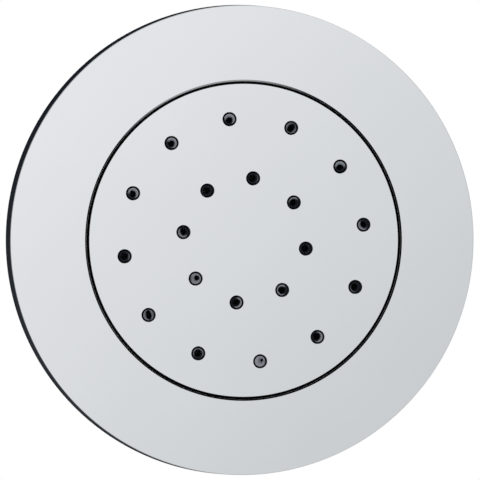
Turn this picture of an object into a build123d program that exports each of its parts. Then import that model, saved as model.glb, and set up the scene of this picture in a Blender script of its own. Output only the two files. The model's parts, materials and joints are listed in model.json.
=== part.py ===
"""Round shower body jet: a chrome cover plate around a spray head that swivels on a ball.

The jet's axis is Y. The finished wall is the plane y = 0, with the origin at the centre of the
wall seal. The spray leaves towards -Y, +Z is up, and what lies at y > 0 is inside the wall.
"""

import math
import os

from build123d import *

# Driving dimensions, in millimetres and degrees

# Cover plate
projection = 7.0  # the face stands this far off the wall
ring_width = 19.35  # visible ring, from its bore to its rim
plate_wall = 2.0  # front wall and rim of the hollow plate
bore_bevel = 0.4  # width of the bevelled edge around the spray face
bore_bevel_slope = 33.0  # the bevel falls away from the face by this angle
rim_edge = 0.18  # rounding of the polished outer edge
rim_draft = 4.5  # the rim widens towards the wall by this angle
collar_wall = 2.8  # collar that plugs into the housing
collar_reach = 8.0  # how far the collar goes into the wall
bore_land = 0.8  # straight stretch of the bore before its relief

# Spray head
face_d = 80.0
face_gap = 0.65  # gap between the spray face and the cover plate
face_wall = 1.6
face_edge = 0.2  # rounding of the spray face's front edge
skirt_wall = 1.8
skirt_lip = 0.6  # skirt left behind the lock ring
mat_thickness = 1.4
nozzle_plate_thickness = 2.0
chamber_height = 2.5
shell_floor = 2.2
shell_rim = 3.3
shell_rib_count = 8
shell_rib_width = 1.6
shell_rib_height = 1.6
lock_ring_thickness = 2.3
lock_ring_width = 4.0
lock_ring_notches = 4
notch_width = 4.0
notch_depth = 1.4

# Nozzles: an outer and an inner ring, turned a little about the jet's axis
outer_ring_r = 31.2
outer_count = 12
inner_ring_r = 16.0
inner_count = 8
pattern_turn = -8.0
nozzle_hole_d = 3.6
hole_edge = 0.12
nozzle_recess = 0.12  # the rubber tips end this far below the polished face
nozzle_lip = 0.2  # rounding of the rubber tips
orifice_d = 1.5
feed_hole_d = 2.4

# Ball swivel
tilt_limit = 8.0  # each way, about both cross axes
ball_r = 10.0
ball_flat = 7.2  # from the ball's centre to its flat front
neck_r = 6.0
seat_wall = 1.4
seat_front = 4.1  # front seat ring's front edge, ahead of the ball's centre
seat_middle = 0.6  # front seat ring's back edge, ahead of the ball's centre
socket_wall = 2.4
socket_back = 3.5  # the socket ends this far behind the ball's centre
ball_nut_wall = 2.4
ball_nut_lip = 1.4
ball_nut_gap = 1.4  # the nut stops this far short of the shell
ball_nut_notches = 6
seal_section = 2.0

# Water inlet
waterway_r = 4.0
shank_r = 13.0  # M26 thread for the back nut, crest radius
shank_spare = 3.0  # thread left behind the back nut
stem_hex_land = 3.0  # the hexagon's flats stand this far outside the shank
stem_hex_height = 4.0
inlet_r = 10.4775  # G 1/2 male thread, crest radius
inlet_wall = 3.5  # around the counterbore for the regulator and the filter
inlet_length = 16.0
inlet_chamfer = 1.0
stem_washer_thickness = 1.5
stem_washer_width = 4.6
back_washer_thickness = 1.5
back_washer_width = 6.0
back_nut_land = 5.0
back_nut_height = 6.0
regulator_height = 6.0
regulator_wall = 1.3
regulator_floor = 1.5
regulator_post_r = 2.2
regulator_ring_section = 1.9
regulator_hole_d = 1.2
regulator_hole_count = 8
filter_height = 2.5
filter_rim = 1.1
filter_mesh = 0.6
filter_hole_d = 1.0
filter_pitch = 1.55
filter_rows = 3
filter_setback = 1.0

# Wall housing
housing_wall = 2.3
housing_back = 3.0
housing_corner = 4.0
flange_thickness = 3.0
gasket_thickness = 1.2
screw_hole_d = 4.5
screw_head_d = 8.0
screw_count = 4
rib_count = 8
rib_width = 2.5
rib_height = 3.0
spanner_room = 6.0  # clear ring around the back washer

# Fits
o_ring_section = 1.8
groove_spare = 0.8  # a groove is this much wider than its ring
seal_fit = 0.05  # room left on each side of a ring in its groove
thread_fit = 0.1  # radial room of a screwed pair, drawn without its thread
slide_fit = 0.3
stack_fit = 0.4  # radial room of the discs inside the spray face
nozzle_base_fit = 0.1
nozzle_tip_fit = 0.42
ball_fit = 0.1
swing_room = 0.8  # least room around the tilting head
neck_room = 0.3  # least room around the stem's neck

# The head's largest tilt is both limits together
tilt = math.radians(tilt_limit)
swing = math.acos(math.cos(tilt) ** 2)


def sphere_r(radius, depth):
    """Radius of a sphere's section at that distance from its centre."""
    return math.sqrt(radius**2 - depth**2)


# Stack inside the spray head, front to back
face_y = -projection
mat_y = face_y + face_wall
nozzle_plate_y = mat_y + mat_thickness
chamber_y = nozzle_plate_y + nozzle_plate_thickness
floor_y = chamber_y + chamber_height
lock_ring_y = floor_y + shell_floor
skirt_y = lock_ring_y + lock_ring_thickness + skirt_lip

# Radii of the stack
face_r = face_d / 2
skirt_r = face_r - skirt_wall
disc_r = skirt_r - stack_fit
lock_ring_r = skirt_r - thread_fit

# Ball, seat rings and seal: the seal's pocket starts at the back of the shell's floor
seat_inner_r = ball_r + ball_fit
seat_outer_r = seat_inner_r + seat_wall
socket_r = seat_outer_r + ball_fit
seal_r = seal_section / 2
seal_depth = seat_front + seal_fit + seal_r
pocket_depth = seal_depth + seal_r + seal_fit
seal_ring_r = sphere_r(seat_inner_r + seal_r, seal_depth)
pocket_r = seal_ring_r + seal_r + seal_fit
ball_y = lock_ring_y + pocket_depth
throat_r = sphere_r(ball_r + swing_room, pocket_depth)
seat_back = seat_inner_r * math.cos(math.asin((neck_r + neck_room) / seat_inner_r) + tilt)
seat_split = seat_outer_r * math.sin(tilt) + neck_room

# Ball nut: its lip clears the neck at the largest tilt
socket_back_y = ball_y + socket_back
socket_outer_r = socket_r + socket_wall
ball_nut_r = socket_outer_r + thread_fit + ball_nut_wall
lip_angle = swing + math.asin((neck_r + neck_room + ball_nut_lip * math.sin(swing)) / socket_r)
lip_r = socket_r * math.sin(lip_angle)
lip_depth = socket_r * math.cos(lip_angle)
ball_nut_depth = lip_depth + ball_nut_lip

# Relief of the plate's bore and place of the hexagon: both clear the tilted head
face_depth = ball_y - face_y
relief_r = face_r * math.cos(swing) + face_depth * math.sin(swing) + swing_room
relief_y = face_y + face_r * math.sin(swing)
ball_nut_reach = ball_nut_depth * math.cos(swing) + ball_nut_r * math.sin(swing)
stem_hex_y = ball_y + ball_nut_reach + swing_room

# Inlet, front to back
stem_washer_y = stem_hex_y + stem_hex_height
housing_back_y = stem_washer_y + stem_washer_thickness
back_washer_y = housing_back_y + housing_back
back_nut_y = back_washer_y + back_washer_thickness
inlet_y = back_nut_y + back_nut_height + shank_spare
inlet_end_y = inlet_y + inlet_length
shank_hole_r = shank_r + thread_fit
insert_bore_r = inlet_r - inlet_wall
insert_r = insert_bore_r - thread_fit

# Cover plate and housing
bore_r = face_r + face_gap
bore_bevel_depth = bore_bevel * math.tan(math.radians(bore_bevel_slope))
plate_r = bore_r + ring_width
rim_r = plate_r - plate_wall
rim_foot_r = plate_r + projection * math.tan(math.radians(rim_draft))
collar_r = relief_r + collar_wall
housing_r = collar_r + slide_fit
housing_outer_r = housing_r + housing_wall
flange_r = rim_r - swing_room
flange_back_y = -gasket_thickness
flange_y = flange_back_y - flange_thickness
screw_circle_r = (housing_outer_r + flange_r) / 2
screw_first = 180 / screw_count
groove_width = o_ring_section + groove_spare


def plane_at(y):
    """Plane across the jet's axis, seen from the front, at that place on the axis."""
    return Plane.XZ.offset(-y)


def turned(inner, outer, front, back, mode=Mode.ADD):
    """Rectangle between two radii and two places on the axis, to be turned about Y."""
    with Locations(((inner + outer) / 2, (front + back) / 2)):
        Rectangle(outer - inner, back - front, mode=mode)


def turned_ring(radius, y, section):
    """Round section of a ring, to be turned about Y."""
    with Locations((radius, y)):
        Circle(section / 2)


def nozzle_circles(diameter):
    """A circle at every nozzle, on a plane seen from the front."""
    top = 90 + pattern_turn
    with PolarLocations(outer_ring_r, outer_count, start_angle=top + 180 / outer_count):
        Circle(diameter / 2)
    with PolarLocations(inner_ring_r, inner_count, start_angle=top):
        Circle(diameter / 2)


def seat_zone(front_y, back_y):
    """Section of a hollow sphere around the ball, between two places on the axis."""
    with BuildLine() as outline:
        arcs = []
        for radius in (seat_inner_r, seat_outer_r):
            start = math.degrees(math.asin((front_y - ball_y) / radius))
            end = math.degrees(math.asin((back_y - ball_y) / radius))
            arcs.append(CenterArc((0, ball_y), radius, start, end - start))
        Line(arcs[0] @ 0, arcs[1] @ 0)
        Line(arcs[0] @ 1, arcs[1] @ 1)
    make_face(outline.edges())


# Cover plate: hollow polished disc with a collar behind its bore
collar_groove_r = housing_r - o_ring_section
collar_groove_y = collar_reach / 2
with BuildPart() as cover_plate:
    with BuildSketch(Plane.XY):
        with BuildLine():
            Polyline(
                (bore_r, face_y + bore_bevel_depth),
                (bore_r + bore_bevel, face_y),
                (plate_r, face_y),
                (rim_foot_r, 0),
                (rim_r, 0),
                (rim_r, face_y + plate_wall),
                (collar_r, face_y + plate_wall),
                (collar_r, collar_reach),
                (relief_r, collar_reach),
                (relief_r, relief_y),
                (bore_r, face_y + bore_land),
                close=True,
            )
        make_face()
        with Locations((collar_r, collar_groove_y)):
            Rectangle(2 * (collar_r - collar_groove_r), groove_width, mode=Mode.SUBTRACT)
    revolve(axis=Axis.Y)
    front_edges = cover_plate.faces().sort_by(Axis.Y)[0].edges()
    fillet(front_edges.sort_by(SortBy.RADIUS)[-1], radius=rim_edge)
cover_plate.part.label = "cover_plate"

# Ring that grips the collar inside the housing
with BuildPart() as collar_ring:
    with BuildSketch(Plane.XY):
        turned_ring(housing_r - o_ring_section / 2, collar_groove_y, o_ring_section - 2 * seal_fit)
    revolve(axis=Axis.Y)
collar_ring.part.label = "collar_ring"

# Wall housing: moulded cup with a screw flange and a ribbed back
rib_start = shank_hole_r + back_washer_width + spanner_room
rib_length = housing_outer_r - housing_corner - rib_start
with BuildPart() as wall_housing:
    with BuildSketch(Plane.XY):
        turned(housing_r, housing_outer_r, flange_y, back_washer_y)
        turned(housing_r, flange_r, flange_y, flange_back_y)
        turned(shank_hole_r, housing_outer_r, housing_back_y, back_washer_y)
    revolve(axis=Axis.Y)
    back_edges = wall_housing.faces().sort_by(Axis.Y)[-1].edges()
    fillet(back_edges.sort_by(SortBy.RADIUS)[-1], radius=housing_corner)
    with BuildSketch(plane_at(back_washer_y)):
        with PolarLocations(rib_start + rib_length / 2, rib_count):
            Rectangle(rib_length, rib_width)
    extrude(amount=-rib_height)
    with Locations(plane_at(flange_y)):
        with PolarLocations(screw_circle_r, screw_count, start_angle=screw_first):
            CounterSinkHole(screw_hole_d / 2, screw_head_d / 2, flange_thickness)
wall_housing.part.label = "wall_housing"

# Wall gasket: flat rubber ring between the flange and the tiles
with BuildPart() as wall_gasket:
    with BuildSketch(Plane.XY):
        turned(housing_outer_r + slide_fit, flange_r, flange_back_y, 0)
    revolve(axis=Axis.Y)
    with BuildSketch(plane_at(0)):
        with PolarLocations(screw_circle_r, screw_count, start_angle=screw_first):
            Circle(screw_hole_d / 2 + thread_fit)
    extrude(amount=gasket_thickness, mode=Mode.SUBTRACT)
wall_gasket.part.label = "wall_gasket"

# Inlet stem: ball, neck, hexagon, shank and inlet, made from one brass bar
ball_start = -math.degrees(math.asin(ball_flat / ball_r))
ball_end = math.degrees(math.acos(neck_r / ball_r))
with BuildPart() as inlet_stem:
    with BuildSketch(Plane.XY):
        with BuildLine():
            ball = CenterArc((0, ball_y), ball_r, ball_start, ball_end - ball_start)
            Polyline(
                ball @ 1,
                (neck_r, stem_washer_y),
                (shank_r, stem_washer_y),
                (shank_r, inlet_y),
                (inlet_r, inlet_y),
                (inlet_r, inlet_end_y - inlet_chamfer),
                (inlet_r - inlet_chamfer, inlet_end_y),
                (insert_bore_r, inlet_end_y),
                (insert_bore_r, inlet_y),
                (waterway_r, inlet_y),
                (waterway_r, ball_y - ball_flat),
                ball @ 0,
            )
        make_face()
    revolve(axis=Axis.Y)
    with BuildSketch(plane_at(stem_washer_y)):
        RegularPolygon(shank_r + stem_hex_land, 6, major_radius=False)
        Circle(waterway_r, mode=Mode.SUBTRACT)
    extrude(amount=stem_hex_height)
inlet_stem.part.label = "inlet_stem"

# Rubber washer between the hexagon and the housing
with BuildPart() as stem_washer:
    with BuildSketch(Plane.XY):
        turned(shank_hole_r, shank_hole_r + stem_washer_width, stem_washer_y, housing_back_y)
    revolve(axis=Axis.Y)
stem_washer.part.label = "stem_washer"

# Flat washer under the back nut
with BuildPart() as back_washer:
    with BuildSketch(Plane.XY):
        turned(shank_hole_r, shank_hole_r + back_washer_width, back_washer_y, back_nut_y)
    revolve(axis=Axis.Y)
back_washer.part.label = "back_washer"

# Back nut: hexagon with its corners turned off at both ends
flat_r = shank_r + back_nut_land
corner_r = flat_r / math.cos(math.pi / 6)
corner_drop = (corner_r - flat_r) / 2
back_nut_end = back_nut_y + back_nut_height
with BuildPart() as back_nut:
    with BuildSketch(plane_at(back_nut_end)):
        RegularPolygon(flat_r, 6, major_radius=False)
        Circle(shank_hole_r, mode=Mode.SUBTRACT)
    extrude(amount=back_nut_height)
    with BuildSketch(Plane.XY):
        with BuildLine():
            Polyline(
                (0, back_nut_y),
                (flat_r, back_nut_y),
                (corner_r, back_nut_y + corner_drop),
                (corner_r, back_nut_end - corner_drop),
                (flat_r, back_nut_end),
                (0, back_nut_end),
                close=True,
            )
        make_face()
    revolve(axis=Axis.Y, mode=Mode.INTERSECT)
back_nut.part.label = "back_nut"

# Flow regulator: cup with a post and a circle of holes under its elastic ring
regulator_ring_r = regulator_post_r + thread_fit + regulator_ring_section / 2
regulator_floor_y = inlet_y + regulator_floor
with BuildPart() as flow_regulator:
    with BuildSketch(Plane.XY):
        turned(insert_r - regulator_wall, insert_r, inlet_y, inlet_y + regulator_height)
        turned(0, insert_r, inlet_y, regulator_floor_y)
        turned(0, regulator_post_r, inlet_y, inlet_y + regulator_height)
    revolve(axis=Axis.Y)
    with BuildSketch(plane_at(inlet_y)):
        with PolarLocations(regulator_ring_r, regulator_hole_count):
            Circle(regulator_hole_d / 2)
    extrude(amount=-regulator_floor, mode=Mode.SUBTRACT)
flow_regulator.part.label = "flow_regulator"

# Elastic ring of the regulator
with BuildPart() as regulator_ring:
    with BuildSketch(Plane.XY):
        ring_y = regulator_floor_y + seal_fit + regulator_ring_section / 2
        turned_ring(regulator_ring_r, ring_y, regulator_ring_section)
    revolve(axis=Axis.Y)
regulator_ring.part.label = "regulator_ring"

# Inlet filter: rim with a pierced disc
filter_end_y = inlet_end_y - filter_setback
filter_y = filter_end_y - filter_height
mesh_y = (filter_y + filter_end_y - filter_mesh) / 2
with BuildPart() as inlet_filter:
    with BuildSketch(Plane.XY):
        turned(insert_r - filter_rim, insert_r, filter_y, filter_end_y)
        turned(0, insert_r, mesh_y, mesh_y + filter_mesh)
    revolve(axis=Axis.Y)
    with BuildSketch(plane_at(mesh_y)):
        Circle(filter_hole_d / 2)
        for row in range(1, filter_rows + 1):
            with PolarLocations(row * filter_pitch, 6 * row):
                Circle(filter_hole_d / 2)
    extrude(amount=-filter_mesh, mode=Mode.SUBTRACT)
inlet_filter.part.label = "inlet_filter"

# Seat rings: two loose zones of a hollow sphere between the ball and its socket
with BuildPart() as ball_seat_front:
    with BuildSketch(Plane.XY):
        seat_zone(ball_y - seat_front, ball_y - seat_middle)
    revolve(axis=Axis.Y)
ball_seat_front.part.label = "ball_seat_front"

with BuildPart() as ball_seat_rear:
    with BuildSketch(Plane.XY):
        seat_zone(ball_y - seat_middle + seat_split, ball_y + seat_back)
    revolve(axis=Axis.Y)
ball_seat_rear.part.label = "ball_seat_rear"

# Spray face: polished cup with the nozzle holes
with BuildPart() as spray_face:
    with BuildSketch(Plane.XY):
        turned(0, face_r, face_y, mat_y)
        turned(skirt_r, face_r, face_y, skirt_y)
    revolve(axis=Axis.Y)
    fillet(spray_face.faces().sort_by(Axis.Y)[0].edges(), radius=face_edge)
    with BuildSketch(plane_at(face_y)):
        nozzle_circles(nozzle_hole_d)
    extrude(amount=-face_wall, mode=Mode.SUBTRACT)
    front = spray_face.faces().sort_by(Axis.Y)[0]
    chamfer(front.inner_wires().edges(), length=hole_edge)
spray_face.part.label = "spray_face"

# Nozzle mat: rubber sheet with a tapered nozzle through every hole
nozzle_base_d = nozzle_hole_d - 2 * nozzle_base_fit
nozzle_height = face_wall - nozzle_recess
nozzle_taper = math.degrees(math.atan2(nozzle_tip_fit - nozzle_base_fit, nozzle_height))
with BuildPart() as nozzle_mat:
    with BuildSketch(plane_at(mat_y)):
        Circle(disc_r)
    extrude(amount=-mat_thickness)
    with BuildSketch(plane_at(mat_y)):
        nozzle_circles(nozzle_base_d)
    extrude(amount=nozzle_height, taper=nozzle_taper)
    tips = nozzle_mat.faces().filter_by(GeomType.PLANE).group_by(Axis.Y)[0]
    fillet(tips.edges(), radius=nozzle_lip)
    with BuildSketch(plane_at(mat_y - nozzle_height)):
        nozzle_circles(orifice_d)
    extrude(amount=-(nozzle_height + mat_thickness), mode=Mode.SUBTRACT)
nozzle_mat.part.label = "nozzle_mat"

# Nozzle plate: backs the mat and feeds each nozzle, with a dome that spreads the water
with BuildPart() as nozzle_plate:
    with BuildSketch(plane_at(nozzle_plate_y)):
        Circle(disc_r)
    extrude(amount=-nozzle_plate_thickness)
    with BuildSketch(plane_at(nozzle_plate_y)):
        nozzle_circles(feed_hole_d)
    extrude(amount=-nozzle_plate_thickness, mode=Mode.SUBTRACT)
    with BuildSketch(Plane.XY):
        with BuildLine():
            dome_top = (0, chamber_y + chamber_height / 2)
            dome_edge = (waterway_r, chamber_y)
            Line((0, chamber_y), dome_edge)
            TangentArc(dome_top, dome_edge, tangent=(1, 0))
            Line(dome_top, (0, chamber_y))
        make_face()
    revolve(axis=Axis.Y)
nozzle_plate.part.label = "nozzle_plate"

# Head shell: closes the water chamber and holds the ball socket
shell_groove_r = skirt_r - o_ring_section
shell_groove_y = (chamber_y + lock_ring_y) / 2
groove_half = groove_width / 2
socket_end = math.degrees(math.acos(pocket_r / socket_r))
shell_rib_start = ball_nut_r + swing_room
shell_rib_length = lock_ring_r - lock_ring_width - swing_room - shell_rib_start
with BuildPart() as head_shell:
    with BuildSketch(Plane.XY):
        with BuildLine():
            socket = CenterArc((0, ball_y), socket_r, -socket_end, socket_end)
            Polyline(
                socket @ 1,
                (socket_r, socket_back_y),
                (socket_outer_r, socket_back_y),
                (socket_outer_r, lock_ring_y),
                (disc_r, lock_ring_y),
                (disc_r, chamber_y),
                (disc_r - shell_rim, chamber_y),
                (disc_r - shell_rim, floor_y),
                (throat_r, floor_y),
                (throat_r, lock_ring_y),
                (pocket_r, lock_ring_y),
                socket @ 0,
            )
        make_face()
        turned(shell_groove_r, skirt_r, shell_groove_y - groove_half, shell_groove_y + groove_half, Mode.SUBTRACT)
    revolve(axis=Axis.Y)
    with BuildSketch(plane_at(lock_ring_y)):
        with PolarLocations(shell_rib_start + shell_rib_length / 2, shell_rib_count):
            Rectangle(shell_rib_length, shell_rib_width)
    extrude(amount=-shell_rib_height)
head_shell.part.label = "head_shell"

# Ring that seals the shell in the spray face
with BuildPart() as head_ring:
    with BuildSketch(Plane.XY):
        turned_ring(skirt_r - o_ring_section / 2, shell_groove_y, o_ring_section - 2 * seal_fit)
    revolve(axis=Axis.Y)
head_ring.part.label = "head_ring"

# Lock ring: screws into the skirt behind the shell, with notches for its key
lock_ring_inner_r = lock_ring_r - lock_ring_width
with BuildPart() as lock_ring:
    with BuildSketch(plane_at(lock_ring_y)):
        Circle(lock_ring_r)
        Circle(lock_ring_inner_r, mode=Mode.SUBTRACT)
        with PolarLocations(lock_ring_inner_r, lock_ring_notches):
            Rectangle(2 * notch_depth, notch_width, mode=Mode.SUBTRACT)
    extrude(amount=-lock_ring_thickness)
lock_ring.part.label = "lock_ring"

# Ring that seals the shell on the ball
with BuildPart() as ball_seal:
    with BuildSketch(Plane.XY):
        turned_ring(seal_ring_r, ball_y - seal_depth, seal_section)
    revolve(axis=Axis.Y)
ball_seal.part.label = "ball_seal"

# Ball nut: screws over the socket and holds the ball from behind
nut_seat_depth = socket_back + thread_fit
nut_seat_start = math.degrees(math.asin(nut_seat_depth / socket_r))
nut_seat_end = math.degrees(math.pi / 2 - lip_angle)
ball_nut_front_y = lock_ring_y + ball_nut_gap
ball_nut_end_y = ball_y + ball_nut_depth
with BuildPart() as ball_nut:
    with BuildSketch(Plane.XY):
        with BuildLine():
            nut_seat = CenterArc((0, ball_y), socket_r, nut_seat_start, nut_seat_end - nut_seat_start)
            Polyline(
                nut_seat @ 1,
                (lip_r, ball_nut_end_y),
                (ball_nut_r, ball_nut_end_y),
                (ball_nut_r, ball_nut_front_y),
                (socket_outer_r + thread_fit, ball_nut_front_y),
                (socket_outer_r + thread_fit, ball_y + nut_seat_depth),
                nut_seat @ 0,
            )
        make_face()
    revolve(axis=Axis.Y)
    with BuildSketch(plane_at(ball_nut_front_y)):
        with PolarLocations(ball_nut_r, ball_nut_notches):
            Rectangle(2 * notch_depth, notch_width)
    extrude(amount=-(ball_nut_end_y - ball_nut_front_y), mode=Mode.SUBTRACT)
ball_nut.part.label = "ball_nut"

pieces = [
    cover_plate,
    collar_ring,
    wall_housing,
    wall_gasket,
    inlet_stem,
    stem_washer,
    back_washer,
    back_nut,
    flow_regulator,
    regulator_ring,
    inlet_filter,
    ball_seat_front,
    ball_seat_rear,
    spray_face,
    nozzle_mat,
    nozzle_plate,
    head_shell,
    head_ring,
    lock_ring,
    ball_seal,
    ball_nut,
]
os.makedirs("parts", exist_ok=True)
for piece in pieces:
    export_step(piece.part, f"parts/{piece.part.label}.step")
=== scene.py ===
import json
import math
import random
from collections import namedtuple

import bmesh
import bpy
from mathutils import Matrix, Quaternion, Vector


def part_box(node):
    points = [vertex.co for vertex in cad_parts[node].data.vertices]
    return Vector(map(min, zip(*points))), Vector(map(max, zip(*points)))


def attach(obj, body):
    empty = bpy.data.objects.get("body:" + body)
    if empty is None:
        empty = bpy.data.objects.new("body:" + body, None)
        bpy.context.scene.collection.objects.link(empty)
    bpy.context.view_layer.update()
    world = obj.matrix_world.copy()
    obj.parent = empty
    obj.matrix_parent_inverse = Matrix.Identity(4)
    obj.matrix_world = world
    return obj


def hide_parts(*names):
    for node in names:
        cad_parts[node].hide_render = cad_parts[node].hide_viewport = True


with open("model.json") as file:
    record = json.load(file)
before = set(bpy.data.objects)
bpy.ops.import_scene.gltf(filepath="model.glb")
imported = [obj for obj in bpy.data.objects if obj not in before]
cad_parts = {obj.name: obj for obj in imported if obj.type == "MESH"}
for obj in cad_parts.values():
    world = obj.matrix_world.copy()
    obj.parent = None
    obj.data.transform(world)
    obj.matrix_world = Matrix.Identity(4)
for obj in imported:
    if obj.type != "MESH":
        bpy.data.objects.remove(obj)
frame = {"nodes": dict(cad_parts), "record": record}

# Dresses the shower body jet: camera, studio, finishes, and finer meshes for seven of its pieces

MM = 0.001
TURN = 2 * math.pi
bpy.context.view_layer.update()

# Camera, fitted to the photograph
PHOTO_SIDE = 480  # pixels
FACE_PIXEL = (244.40, 239.95)  # where the centre of the spray face falls
VIEW_AZIMUTH = -9.6  # degrees
VIEW_ELEVATION = 0.9
VIEW_ROLL = -0.3
VIEW_DISTANCE = 784.3 * MM
PIXEL_DISTANCE = 3070  # the same distance in pixels, which gives the lens
SENSOR = 36.0

# Studio, in metres and watts
FILL_STRENGTH = 0.6
SOFTBOX_SIZE = 1.5
SOFTBOXES = {  # place and power
    "left_softbox": ((-1.3, -0.4, 0.3), 9),
    "top_softbox": ((-0.2, -0.3, 1.4), 9),
    "back_softbox": ((0.9, 1.3, 0.9), 9),
    "back_left_softbox": ((-1.2, 0.9, 0.4), 4),
}
FLOOR_Z = -0.12
FLOOR_HALF = 4.0
FLOOR_COLOUR = (0.9, 0.9, 0.9)
FLOOR_ROUGHNESS = 0.9
FLOOR_SHADOW_R = 0.45  # beyond this the floor is as white as the background

# Cards that show only in reflections, in metres
FRONT_CARD_Y = -1.6
FRONT_CARD_HALF = 3.2
FRONT_CARD_ALONG = (1, 0, -1)  # its colour changes with x - z
FRONT_CARD_STOPS = [  # x - z and colour
    (-1.1, (0.6, 0.6, 0.6)),
    (-0.045, (1, 1, 1)),
    (0.755, (0.64, 0.66, 0.665)),
    (2.4, (0.88, 0.88, 0.88)),
]
FLAG_Y = 0.2
FLAG_LOW = (0.027, 0.031, 0.037)  # its dark colour low down
FLAG_HIGH = (0.010, 0.013, 0.018)  # and high up
FLAG_SPAN = 0.085  # height above and below its middle over which the colour changes
FLAG_TONES = [(0.075, 0.75), (0.09, 0.0), (0.15, 0.0), (0.24, 0.6)]  # radius, share of white
RING_CARD_R = 1.6
RING_CARD_TONES = [  # place along its axis, tone around it and tone at its top
    (-1.22, 0.95, 0.95),
    (-0.98, 0.4, 0.4),
    (-0.89, 0.0, 0.0),
    (-0.77, 0.0, 0.0),
    (-0.64, 0.34, 0.34),
    (0.0, 0.38, 0.8),
    (1.4, 0.42, 0.9),
    (3.0, 0.7, 0.9),
]
RING_GLOW = 0.35  # a lighter patch low on the ring
RING_GLOW_ANGLE = -73.0
RING_GLOW_REACH = (14.0, 38.0)  # degrees from its middle to where it starts to fade, and ends

# Sizes of the polished pieces that the frame's boxes don't give, in millimetres
FACE_GAP = 0.65
FACE_PLATE_R = 60.0
PLATE_WALL = 2.0
BORE_EDGE = 0.4
BORE_SLOPE = 33.0  # degrees
BORE_ROUND = 0.05
RIM_EDGE = 0.18
BACK_EDGE = 0.25
BORE_LAND = 0.8
RELIEF_Y = 0.84
GROOVE_Y = (2.7, 5.3)
GROOVE_DEPTH = 1.5
FACE_WALL = 1.6
FACE_EDGE = 0.08
SKIRT_WALL = 1.8

# Nozzles, in millimetres and degrees
OUTER_RING = (31.2, 12, 97.0)  # radius, count, first angle
INNER_RING = (16.0, 8, 82.0)
HOLE_R = 1.8
HOLE_EDGE = 0.05
NOZZLE_BASE_R = 1.7
NOZZLE_TIP_R = 1.38
NOZZLE_LIP = 0.12
NOZZLE_SLANT = 0.35  # the dark side of a tip is sunk this far
ORIFICE_R = 0.75
MOUTH_SINK = 0.06
MOUTH_DEPTH = 0.18
MOUTH_TAPER = 0.94  # width of a mouth at its depth, as a share of its edge
FUNNEL_SHARE = 0.4  # place of its middle loop between mouth and throat
MOUTH_WAVES = ((3, 0.05), (5, 0.04))  # waves around a mouth, and their height as a share of it
MOUTH_SEED = 20

# How light the rubber is painted, as shares of its light grey: painted shade darkens one side of each tip,
# the dish, the mouth's edge and the throat
SHADE_SOFTNESS = 0.25  # half the width over which a tip's painted shade starts, as a share of the tip
DISH_PAINTED_SHADE_TONE = 0.75
MOUTH_EDGE_PAINTED_SHADE_TONE = 0.2
THROAT_PAINTED_SHADE_TONE = 0.04

# Mouth of each nozzle as the photograph shows it, chosen one by one: its half width and half height, the
# turn of its width in degrees, and its place right of and above the tip's centre, as shares of the
# tip. Then the direction and share of the tip's dark side, and how light the rest is
# The dark side of each tip is painted shade, and the tone sets how light its lit rest is painted
Mouth = namedtuple("Mouth", "half_width half_height turn right up dark_angle dark_share tone")
MOUTHS = [
    Mouth(0.62, 0.68, 0, -0.02, -0.28, 240, 0.30, 0.95),
    Mouth(0.66, 0.60, 0, -0.06, -0.14, 215, 0.34, 0.95),
    Mouth(0.58, 0.74, 0, -0.06, -0.22, 235, 0.32, 0.95),
    Mouth(0.84, 0.84, 0, -0.08, 0.00, 180, 0.88, 0.70),
    Mouth(0.50, 0.96, 12, 0.02, 0.02, 0, 0.00, 0.62),
    Mouth(0.78, 0.78, 0, -0.02, -0.04, 270, 0.20, 0.50),
    Mouth(0.22, 0.26, -30, 0.30, 0.20, 0, 0.00, 1.00),
    Mouth(0.74, 0.78, 0, -0.18, 0.06, 170, 0.44, 0.90),
    Mouth(0.88, 0.88, 0, 0.06, 0.06, 45, 0.84, 0.55),
    Mouth(0.74, 0.74, 0, 0.16, 0.12, 40, 0.50, 0.75),
    Mouth(0.72, 0.62, 0, 0.00, -0.26, 270, 0.48, 0.95),
    Mouth(0.62, 0.95, -40, 0.00, 0.00, 0, 0.00, 0.52),
    Mouth(0.90, 0.90, 0, -0.06, 0.00, 180, 0.88, 0.55),
    Mouth(0.93, 0.93, 0, 0.00, 0.00, 0, 1.00, 0.30),
    Mouth(0.76, 0.74, 0, 0.14, 0.16, 45, 0.52, 0.70),
    Mouth(0.46, 0.44, 0, 0.24, 0.12, 180, 0.08, 0.85),
    Mouth(0.80, 0.76, 0, -0.14, 0.04, 165, 0.45, 0.90),
    Mouth(0.78, 0.70, 0, 0.00, -0.04, 350, 0.28, 0.85),
    Mouth(0.93, 0.93, 0, 0.00, 0.00, 0, 1.00, 0.30),
    Mouth(0.84, 0.78, 0, 0.04, -0.12, 285, 0.68, 0.75),
]

# Pieces behind the plate, in millimetres
HOUSING_WALL = 2.3
HOUSING_CORNER = 4.0
HOUSING_EDGE = 0.4
SCREW_HOLE_R = 2.25
SCREW_HEAD_R = 4.0
SCREW_SINK = 2.0
SCREW_COUNT = 4
RIB_COUNT = 8
RIB_START_R = 25.1
RIB_WIDTH = 2.5
RIB_ROUND = 0.45
EJECTOR_R = 2.2
EJECTOR_DEPTH = 0.2
EJECTOR_CIRCLE_R = 35.0
GASKET_EDGE = 0.2
WASHER_EDGE = 0.25
BALL_R = 10.0
BALL_FLAT = 7.2
NECK_R = 6.0
HEX_FLAT_R = 16.0
HEX_HEIGHT = 4.0
HEX_CHAMFER = 0.8
SHANK_R = 13.0
SHANK_PLAIN = 3.0  # length without thread beside the hexagon
SHANK_THREAD = (1.5, 0.92)  # pitch, depth
INLET_R = 10.4775
INLET_THREAD = (1.814, 1.16)
INLET_UNDERCUT = 1.2
INLET_CHAMFER = 0.8
INSERT_BORE_R = 6.9775
WATERWAY_R = 4.0

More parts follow.
